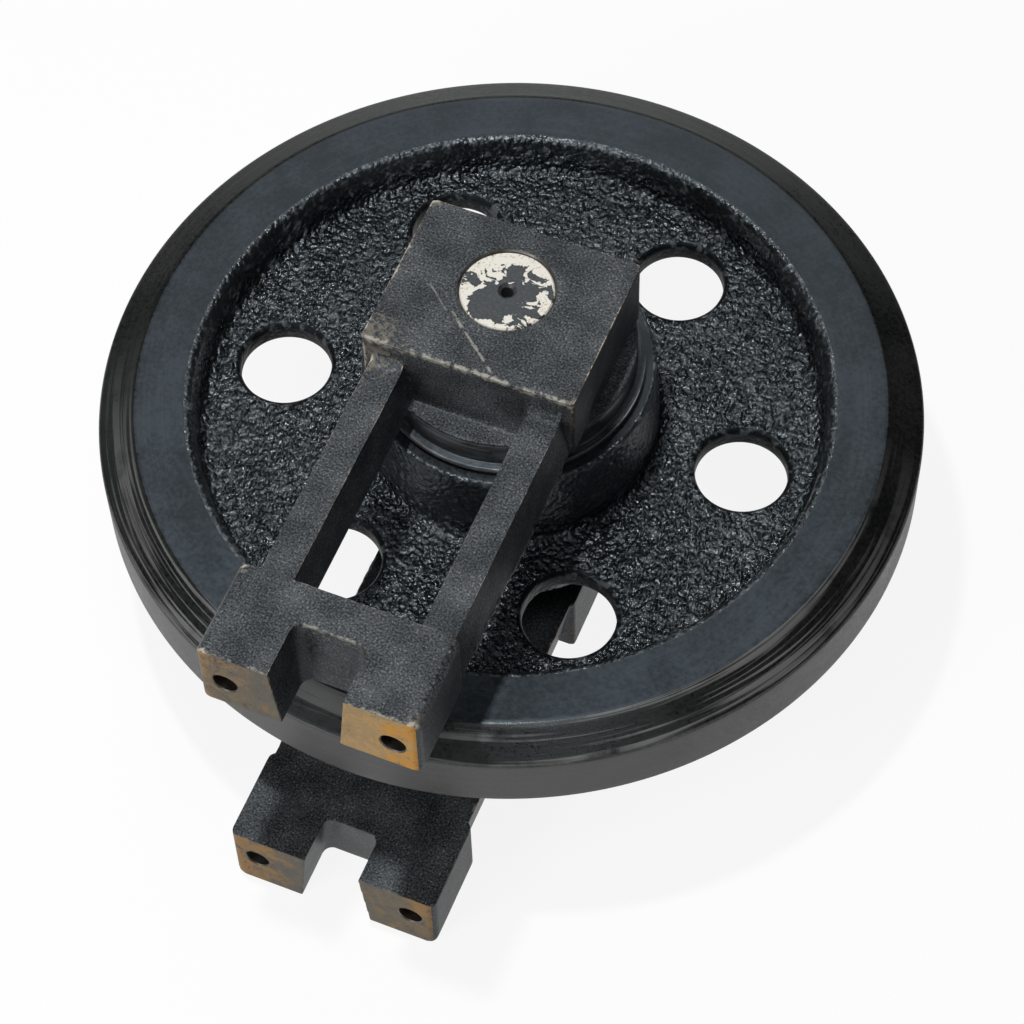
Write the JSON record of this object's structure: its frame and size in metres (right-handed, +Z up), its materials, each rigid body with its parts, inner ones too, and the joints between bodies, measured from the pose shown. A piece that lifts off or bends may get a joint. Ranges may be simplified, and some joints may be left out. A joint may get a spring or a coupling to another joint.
{
  "type": "excavator front idler",
  "caption": "Front idler for a small tracked excavator: a cast flanged wheel turning on a fixed shaft between two mirrored yoke castings that bolt to a track adjuster.",
  "frame": {"origin": "on the wheel's axis, in the flat outer face of the lower yoke, which the idler lies on", "axes": "+Z up along the wheel's axis, -Y towards the yokes' bolted ends, +X across the yokes"},
  "size_m": [0.4, 0.427, 0.216],
  "materials": {
    "wheel_paint": "black paint over a rough casting, turned rim",
    "yoke_paint": "thin black paint over a sand casting, rust on the bolted faces",
    "shaft_steel": "turned steel with peeling pale coating on its ends",
    "bush_bronze": "machined bronze",
    "seal_steel": "lapped hard iron",
    "seal_rubber": "matte rubber",
    "pin_steel": "ground steel",
    "washer_copper": "soft copper"
  },
  "bodies": {
    "frame": {"axle_shaft": "shaft_steel", "upper_yoke": "yoke_paint", "lower_yoke": "yoke_paint", "upper_yoke_seal_ring": "seal_steel", "lower_yoke_seal_ring": "seal_steel", "upper_yoke_toric": "seal_rubber", "lower_yoke_toric": "seal_rubber", "upper_shaft_o_ring": "seal_rubber", "lower_shaft_o_ring": "seal_rubber", "upper_lock_pin": "pin_steel", "lower_lock_pin": "pin_steel", "oil_plug": "pin_steel", "oil_plug_washer": "washer_copper"},
    "wheel": {"idler_wheel": "wheel_paint", "upper_bush": "bush_bronze", "lower_bush": "bush_bronze", "upper_wheel_seal_ring": "seal_steel", "lower_wheel_seal_ring": "seal_steel", "upper_wheel_toric": "seal_rubber", "lower_wheel_toric": "seal_rubber"}
  },
  "joints": [
    {"name": "wheel_spin", "type": "hinge", "parent": "frame", "child": "wheel", "pos_m": [0, 0, 0.108], "axis": [0, 0, 1], "continuous": true}
  ]
}
